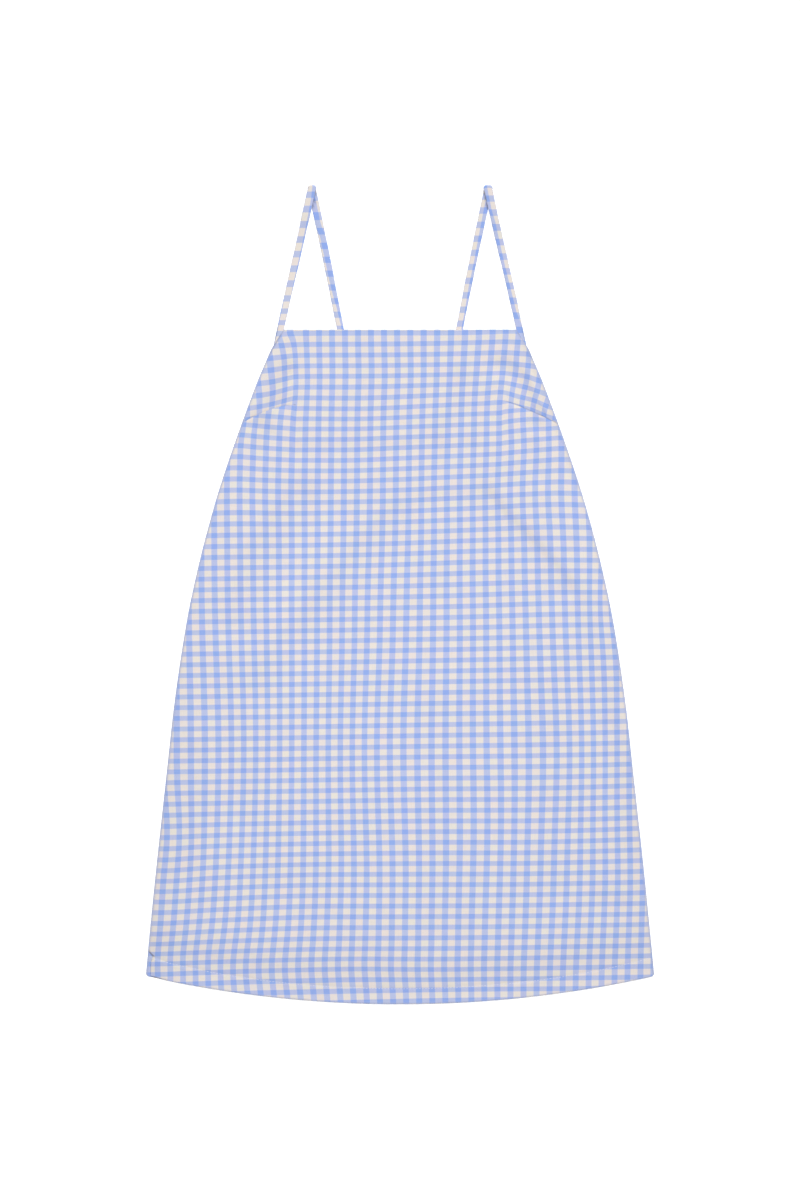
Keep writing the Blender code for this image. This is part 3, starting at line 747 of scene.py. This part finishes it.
strapLook = {                     # millimetres
    "widthAtFold": 8.8, "widthAtNeck": 7.3, "thick": 1.45, "foldGap": 0.9,
    "frontAtNeck": 126.7, "frontAtFold": 92.8,         # across from the dress's middle
    "backAtNeck": 62.6, "backAtFold": 93.8,
    "top": 433.9,                 # from the dress's middle, as neckY
    "tail": 19.0,                 # the front end goes on this far behind the front
    "backTuck": 9.0,              # and the back end this far inside the dress
    "clearance": 0.03,            # over the floor
    "riseFrom": 62.0, "riseTo": 24.0,                  # the front leg climbs here, measured from the fold
    "backLift": 1.05, "liftAhead": 9, "liftOver": 8,   # the back leg climbs onto the back's top edge
    "step": 2.0, "foldSteps": 15, "ring": 20,
    "seamGap": 0.02,              # its long edges stay this far apart, in radians
    "squareness": 0.42, "flatness": 0.75, "crown": 0.12,                 # the form across
    "widthWaver": ((0.02, 9, 0), (0.015, 4.1, 1)),     # share of the width, length, number of its draw
    "thickWaver": (0.05, 6, 3),
    "sideWaver": 0.175, "sideWaverSpans": (23, 41), "stillAtFold": 20,
    "cornerDrop": 2.0, "cornerReach": 3.2,             # rounds the strap's corners at its fold
    # painted shade along the strap's edges: from this share of its half width, and how much
    "edgeBand": 0.80, "edgeShade": 0.5,
    "tuckShade": 0.5, "tuckReach": 1.3,                # shadow on the back leg along the front leg
    "tuckOff": 0.6, "tuckPast": 1.5,                   # in from that leg's edge, and on from the fold
    "tuckFrom": 0.80, "tuckOver": 0.05,                # share of the strap's height
    "outerShade": 0.45, "outerAt": 3.6, "outerReach": 1.0,               # painted shade along its outer edge at the neckline
    "outerY": 276, "outerHigh": 9,
    1: {"frontTurn": 0.728, "backTurn": 0.272,
        "frontRows": (15.0, 30.1, 46.1, 62.1, 77.8, 93.8, 109.6, 125.9, 142, 157.4),
        "backRows": (12.5, 27.5, 43.1, 58.1, 73.4, 88.8, 103.5, 119.4, 135, 149.9),
        "frontLine": ((0, -0.7), (28, -1.2), (40, -0.1), (90, -0.5), (120, 0.1), (138, 0.6),
                      (150, 3.0), (175, 4.5)),
        "backLine": ((30, 0), (48, 0.3), (83, 1.2), (110, 0.9), (140, 1.9))},
    -1: {"frontTurn": 0.272, "backTurn": 0.272,
         "frontRows": (10.8, 26.2, 43.1, 59.3, 75.1, 90.9, 107.2, 123.5, 137.2, 149.6, 161),
         "backRows": (12, 34.3, 49.9, 66, 80.9, 95.9, 110.9, 125.7, 140.2, 155.7),
         "frontLine": ((0, 0.0), (8, 0.6), (16, 1.8), (45, 2.4), (80, 2.8), (98, 2.9), (113, 3.2),
                       (130, 4.6)),
         "backLine": ((17, -4.6), (38, -4.8), (44, -4.4), (50, -3.2), (57, -2.2), (73, -2.1), (103, -1.7),
                      (118, -0.9), (133, 0.5), (150, 1.1))},
    "rowStep": 15,                # bands go on at this distance past the last row
}


def strapPath():
    # across, along, up, and which way the front leg's upper side faces
    look, neckY = strapLook, dressCut["neckY"]
    half = look["thick"] / 2
    radius = (look["thick"] + look["foldGap"]) / 2
    foldY = look["top"] - radius - half
    lowZ = half + look["clearance"]

    def legX(y, leg):
        atNeck, atFold = look[leg + "AtNeck"], look[leg + "AtFold"]
        return atNeck + (atFold - atNeck) * (y - neckY) / (foldY - neckY)

    def frontZ(y):
        climbed = (look["riseFrom"] - (foldY - y)) / (look["riseFrom"] - look["riseTo"])
        return lowZ + 2 * radius * float(smooth(climbed))

    def backZ(y):
        edge = neckY - dressCut["backDrop"]
        return lowZ + look["backLift"] * float(smooth((edge + look["liftAhead"] - y) / look["liftOver"]))

    def lean(height, y, span=0.3):
        return math.atan2(height(y + span) - height(y - span), 2 * span)

    stations = []
    for y in np.arange(neckY - look["tail"], foldY, look["step"]):
        tilt = lean(frontZ, y)
        stations.append((legX(y, "front"), y, frontZ(y), -math.sin(tilt), math.cos(tilt)))
    for turn in np.linspace(0, math.pi, look["foldSteps"]):
        x = look["frontAtFold"] + (look["backAtFold"] - look["frontAtFold"]) * turn / math.pi
        stations.append((x, foldY + radius * math.sin(turn), lowZ + radius + radius * math.cos(turn),
                         math.sin(turn), math.cos(turn)))
    end = neckY - dressCut["backDrop"] - look["backTuck"]
    for y in np.arange(foldY - look["step"], end, -look["step"]):
        tilt = lean(backZ, y)
        stations.append((legX(y, "back"), y, backZ(y), math.sin(tilt), -math.cos(tilt)))
    return np.array(stations)


def makeStrap(name, side, seed):
    look, own = strapLook, strapLook[side]
    path = strapPath()
    draw = np.random.default_rng(seed)
    waver = draw.uniform(0, 2 * math.pi, 4)
    steps = np.hypot(np.hypot(np.diff(path[:, 0]), np.diff(path[:, 1])), np.diff(path[:, 2]))
    run = np.concatenate([[0], np.cumsum(steps)])
    run -= run[np.argmax(path[:, 1])]                    # 0 at the fold, less on the front leg
    ring = look["ring"]
    angles = np.linspace(look["seamGap"], 2 * math.pi - look["seamGap"], ring + 1)
    shapeX = np.sign(np.cos(angles)) * np.abs(np.cos(angles)) ** look["squareness"]
    shapeZ = np.sign(np.sin(angles)) * np.abs(np.sin(angles)) ** look["flatness"]
    crown = 1 - look["crown"] * shapeX ** 2
    reach = look["top"] - dressCut["neckY"]
    lean = math.atan2(look["frontAtNeck"] - look["frontAtFold"], reach)

    def wave(s, amount, length, number):
        return amount * math.sin(s / length + waver[number])

    points, across = [], []
    for (x, y, z, outY, outZ), s in zip(path, run):
        upward = np.clip((y - dressCut["neckY"]) / reach, 0, 1)
        width = look["widthAtNeck"] + (look["widthAtFold"] - look["widthAtNeck"]) * upward
        half = width / 2 / math.cos(lean) * (1 + sum(wave(s, *kind) for kind in look["widthWaver"]))
        shift = sum(wave(s, look["sideWaver"], span, number + 2)
                    for number, span in enumerate(look["sideWaverSpans"]))
        shift *= float(smooth(abs(s) / look["stillAtFold"]))
        out = look["thick"] / 2 * (1 + wave(s, *look["thickWaver"])) * shapeZ * crown
        drop = look["cornerDrop"] * np.abs(shapeX) ** 5 * float(bell(s, look["cornerReach"]))
        points.append(np.stack([side * x + shift + half * shapeX, y + out * outY - drop, z + out * outZ], -1))
        across.append(half * shapeX)
    points, across = np.array(points), np.array(across)
    count = len(points)

    def grainOf(key):
        line = np.array(own[key + "Line"])
        distance = np.abs(run)
        edge = np.interp(distance, line[:, 0], line[:, 1])[:, None]
        sideways = own[key + "Turn"] + (across - edge) / check["repeatAcross"]
        rows, more = own[key + "Rows"], look["rowStep"]
        rows = np.array((rows[0] - more,) + rows + (rows[-1] + more, rows[-1] + 2 * more))
        lengthwise = 0.5 + np.interp(distance, rows, np.arange(len(rows)))
        return np.stack([sideways, np.repeat(lengthwise[:, None], ring + 1, 1)], -1)

    grains = {True: grainOf("front"), False: grainOf("back")}
    margin = bakeMap["margin"]
    faces, grain, bake = [], [], []
    for s in range(count - 1):
        for k in range(ring):
            corners = [(s, k), (s, k + 1), (s + 1, k + 1), (s + 1, k)]
            face = math.sin((angles[k] + angles[k + 1]) / 2) > 0
            faces.append([a * (ring + 1) + b for a, b in corners])
            grain += [grains[face][a, b] for a, b in corners]
            bake += [(margin + (1 - 2 * margin) * a / (count - 1), margin + (1 - 2 * margin) * b / ring)
                     for a, b in corners]
    # painted shade along the strap's edges, in the edge colour
    fade = smooth((np.abs(shapeX) - look["edgeBand"]) / (1 - look["edgeBand"])) * look["edgeShade"]
    climb = (points[:, :, 1] - dressCut["neckY"]) / reach
    frontLeg = look["frontAtNeck"] + (look["frontAtFold"] - look["frontAtNeck"]) * climb
    innerEdge = frontLeg - look["widthAtFold"] / 2
    tuck = look["tuckShade"] * bell(side * points[:, :, 0] - innerEdge + look["tuckOff"], look["tuckReach"])
    tuck = tuck * smooth((climb - look["tuckFrom"]) / look["tuckOver"]) * (run[:, None] > look["tuckPast"])
    outer = look["outerShade"] * bell(side * across - look["outerAt"], look["outerReach"])
    outer = outer * bell(points[:, :, 1] - look["outerY"], look["outerHigh"]) * (run[:, None] < 0)
    return finishMesh(name, points.reshape(-1, 3), faces, {"grain": grain, "OFBake": bake}, panelCloth,
                      {"paintedEdgeShade": np.tile(fade, count), "softShade": tuck + outer})


stitchLook = {                    # millimetres
    "pitch": 3.3, "length": 2.5, "width": 0.5, "height": 0.26,
    "from": 0.982,                # the row starts and ends at this share of the half width
    "uneven": 0.12, "shortest": 0.9, "longest": 1.06,            # of its length
    "bow": 0.10, "sunk": 0.05,    # its middle stands out, its ends go into the cloth
    "backSunk": 0.05,             # the back's stitches lie deeper, clear of the floor
    "sides": 6,
    "rings": ((-1, 0.05), (-0.86, 0.7), (-0.4, 1), (0.4, 1), (0.86, 0.7), (1, 0.05)),   # along, size
}


def makeStitches(name, heightAt, bandAt, facing, seed):
    look = stitchLook
    draw = np.random.default_rng(seed)
    length = dressCut["panelLength"]
    cornerBelow = length - dressCut["hemRise"] - 18    # about where the row meets the side seams
    reach = look["from"] * halfWidth(np.array(cornerBelow))
    middles = np.arange(-reach, reach, look["pitch"])
    middles = middles + draw.uniform(-look["uneven"], look["uneven"], len(middles))

    def lineBelow(x):
        below = np.full_like(x, length - 30)
        for _ in range(3):                             # closer each time
            below = hemBelow(x, below) - bandAt(x, below)
        return below

    rings, sides = look["rings"], look["sides"]
    points, faces = [], []
    for middle in middles:
        half = look["length"] / 2 * draw.uniform(look["shortest"], look["longest"])
        start = len(points)
        for along, size in rings:
            x = np.array([middle + along * half])
            below = lineBelow(x)
            z = heightAt(x, below)[0] + facing * (look["bow"] * (1 - along ** 2) - look["sunk"])
            slope = (lineBelow(x + 0.5) - lineBelow(x - 0.5))[0]
            norm = math.hypot(1, slope)
            for k in range(sides):
                turn = 2 * math.pi * k / sides
                wide = look["width"] / 2 * size * math.cos(turn) / norm
                high = look["height"] / 2 * size * math.sin(turn)
                points.append((x[0] + wide * slope, dressCut["neckY"] - below[0] + wide, z + high))
        for r in range(len(rings) - 1):
            for k in range(sides):
                n = (k + 1) % sides
                a, b = start + r * sides, start + (r + 1) * sides
                faces.append((a + k, b + k, b + n, a + n))
        faces.append(tuple(start + k for k in range(sides)))
        faces.append(tuple(start + (len(rings) - 1) * sides + k for k in range(sides))[::-1])
    return finishMesh(name, points, faces, {}, thread)


frontCloth = makeFront()
print("front done", len(frontCloth.data.polygons))
backCloth = makeBack()
print("back done", len(backCloth.data.polygons))
strapLeft = makeStrap("strapLeft", side=-1, seed=21)
strapRight = makeStrap("strapRight", side=1, seed=22)
print("straps done", len(strapLeft.data.polygons))
frontStitches = makeStitches("frontHemStitches", frontTop, hemBandWidth, facing=1, seed=31)
backStitches = makeStitches("backHemStitches", lambda x, below: backUnder(x, below) + stitchLook["backSunk"],
                            lambda x, below: backLook["hemBand"] + 0 * x, facing=-1, seed=32)
print("stitches done")

for piece, node, slot in (
        (frontCloth, "front_panel", "front_cloth"), (backCloth, "back_panel", "back_cloth"),
        (strapLeft, "strap_left", "strap_cloth"), (strapRight, "strap_right", "strap_cloth")):
    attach(piece, "root")
    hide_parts(node)
for piece, slot in ((frontStitches, "front_cloth"), (backStitches, "back_cloth")):
    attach(piece, "root")

roomLook = {                      # metres
    "floorColour": (0.95, 0.95, 0.95), "floorRoughness": 0.9,
    "floorGrain": 0.985, "grainScale": 60.0, "grainDetail": 3.0,     # its darker grain, as a share
    "floorGlow": 0.4,             # the pale floor gives a little light
    "floorHalf": 40.0,
    "skyColour": (0.985, 0.99, 1.0), "skyStrength": 0.21,
    "sunPower": 2.36, "sunSoftness": 0.8,
    "sunSide": (0.17, 0.80, 1.0),  # from the neck's side of the dress
    "lampPower": 5.8, "lampPlace": (0.02, 0.03, 1.25), "lampSize": 0.7,
    "wallDistance": 38.0, "wallHeight": 20.0, "wallGlow": 1.2, "wallSides": 48,
    "cameraHeight": 2.976,
    "lens": 85.0, "sensor": 36.0,  # millimetres
}


def makeFloor():
    material, tree, shader = newMaterial("paleFloor")
    place = tree.nodes.new("ShaderNodeTexCoord")
    grainy = noise(tree, place.outputs["Object"], roomLook["grainScale"], roomLook["grainDetail"])
    base = roomLook["floorColour"]
    soft = tuple(c * roomLook["floorGrain"] for c in base)
    fill(tree, shader, {"Base Color": mixColour(tree, grainy, soft, base), "Emission Color": base,
                        "Roughness": roomLook["floorRoughness"], "Emission Strength": roomLook["floorGlow"]})
    mesh = bpy.data.meshes.new("floor")
    half = roomLook["floorHalf"]
    corners = [(-half, -half, 0), (half, -half, 0), (half, half, 0), (-half, half, 0)]
    mesh.from_pydata(corners, [], [(0, 1, 2, 3)])
    mesh.materials.append(material)
    addToScene("floor", mesh)


def makeBackdrop():
    # a pale wall far behind, seen from low views; it neither lights nor shades the dress
    material, tree, shader = newMaterial("paleWall")
    pale = roomLook["floorColour"]
    fill(tree, shader, {"Base Color": pale, "Emission Color": pale,
                        "Emission Strength": roomLook["wallGlow"]})
    count, points, faces = roomLook["wallSides"], [], []
    for k in range(count):
        turn = 2 * math.pi * k / count
        x, y = (roomLook["wallDistance"] * f(turn) for f in (math.cos, math.sin))
        points += [(x, y, 0), (x, y, roomLook["wallHeight"])]
        n = (k + 1) % count
        faces.append((2 * n, 2 * k, 2 * k + 1, 2 * n + 1))
    mesh = bpy.data.meshes.new("backdrop")
    mesh.from_pydata(points, [], faces)
    mesh.materials.append(material)
    wall = addToScene("backdrop", mesh)
    for ray in ("diffuse", "glossy", "transmission", "shadow", "volume_scatter"):
        setattr(wall, "visible_" + ray, False)


def makeLight(name, kind, power, place):
    light = bpy.data.lights.new(name, kind)
    light.energy = power
    lamp = addToScene(name, light)
    lamp.location = place
    lamp.rotation_euler = (-Vector(place)).to_track_quat("-Z", "Y").to_euler()
    lamp.visible_camera = False
    return light


makeFloor()
makeBackdrop()
windowLight = makeLight("windowLight", "SUN", roomLook["sunPower"], roomLook["sunSide"])
windowLight.angle = roomLook["sunSoftness"]
overheadLamp = makeLight("overheadLamp", "AREA", roomLook["lampPower"], roomLook["lampPlace"])
overheadLamp.size = roomLook["lampSize"]
world = bpy.data.worlds.new("studio")
world.use_nodes = True
fill(world.node_tree, world.node_tree.nodes["Background"],
     {"Color": roomLook["skyColour"], "Strength": roomLook["skyStrength"]})
scene = bpy.context.scene
scene.world = world
scene.view_settings.view_transform = "Standard"
scene.view_settings.look = "None"
cameraData = bpy.data.cameras.new("camera")
cameraData.lens = roomLook["lens"]
cameraData.sensor_width = roomLook["sensor"]
cameraData.sensor_fit = "AUTO"
camera = addToScene("camera", cameraData)
camera.location = (0, 0, roomLook["cameraHeight"])
scene.camera = camera
print("stage ready")
